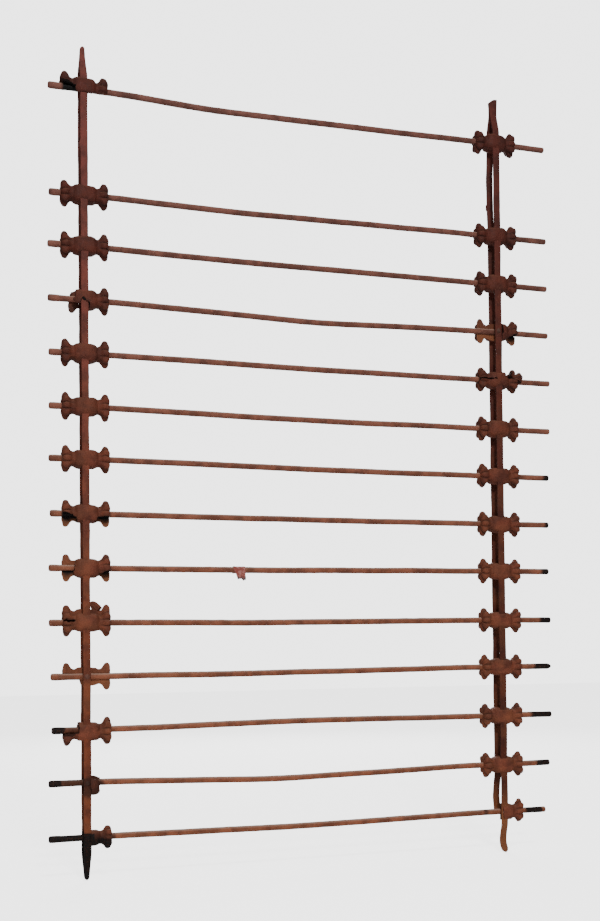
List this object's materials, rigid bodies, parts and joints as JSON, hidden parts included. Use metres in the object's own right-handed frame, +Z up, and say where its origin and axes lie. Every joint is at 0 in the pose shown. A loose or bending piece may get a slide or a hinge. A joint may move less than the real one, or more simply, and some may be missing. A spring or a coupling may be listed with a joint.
{
  "type": "window security bar",
  "caption": "Antique window grille of round iron rods held between paired flat uprights, with fluted cast collars at the crossings.",
  "frame": {"origin": "middle of the grille's box: half way along the rods' overall length, in the rods' plane, half way up the uprights", "axes": "+X along the rods to the right, +Z up along the uprights, -Y out of the front face"},
  "size_m": [1.1605, 0.0528, 1.731],
  "materials": {
    "rod_iron": "rusted wrought iron, red-brown with darker pits, sooty black at some ends",
    "strap_iron": "rusted flat iron, scaled, with old shadowed grime beside the collars",
    "casting_front": "rough rusted iron casting, dull brown",
    "casting_rear": "rough rusted iron casting, fresher orange rust on its inner faces",
    "rivet_iron": "rusted rivet head, rubbed lighter",
    "rag_cloth": "torn scrap of faded red cotton cloth"
  },
  "bodies": {
    "root": {"left_front_collar_01": "casting_front", "left_front_collar_02": "casting_front", "left_front_collar_03": "casting_front", "left_front_collar_04": "casting_front", "left_front_collar_05": "casting_front", "left_front_collar_06": "casting_front", "left_front_collar_07": "casting_front", "left_front_collar_08": "casting_front", "left_front_collar_09": "casting_front", "left_front_collar_10": "casting_front", "left_front_collar_12": "casting_front", "left_front_collar_14": "casting_front", "left_front_strap": "strap_iron", "left_rear_collar_01": "casting_rear", "left_rear_collar_04": "casting_rear", "left_rear_collar_04_lobe": "casting_rear", "left_rear_collar_10": "casting_rear", "left_rear_collar_10_lobe": "casting_rear", "left_rear_collar_11": "casting_rear", "left_rear_collar_12": "casting_rear", "left_rear_collar_13": "casting_rear", "left_rear_collar_14": "casting_rear", "left_rear_collars_whole": "casting_rear", "left_rear_strap": "strap_iron", "left_rivets": "rivet_iron", "rag_scrap": "rag_cloth", "right_front_collar_01": "casting_front", "right_front_collar_02": "casting_front", "right_front_collar_03": "casting_front", "right_front_collar_04": "casting_front", "right_front_collar_05": "casting_front", "right_front_collar_05_lobe": "casting_front", "right_front_collar_06": "casting_front", "right_front_collar_07": "casting_front", "right_front_collar_08": "casting_front", "right_front_collar_09": "casting_front", "right_front_collar_10": "casting_front", "right_front_collar_11": "casting_front", "right_front_collar_12": "casting_front", "right_front_collar_13": "casting_front", "right_front_collar_14": "casting_front", "right_front_strap": "strap_iron", "right_rear_collars_whole": "casting_rear", "right_rear_strap": "strap_iron", "right_rivets": "rivet_iron", "rod_01": "rod_iron", "rod_02": "rod_iron", "rod_03": "rod_iron", "rod_04": "rod_iron", "rod_05": "rod_iron", "rod_06": "rod_iron", "rod_07": "rod_iron", "rod_08": "rod_iron", "rod_09": "rod_iron", "rod_10": "rod_iron", "rod_11": "rod_iron", "rod_12": "rod_iron", "rod_13": "rod_iron", "rod_14": "rod_iron"}
  },
  "joints": []
}
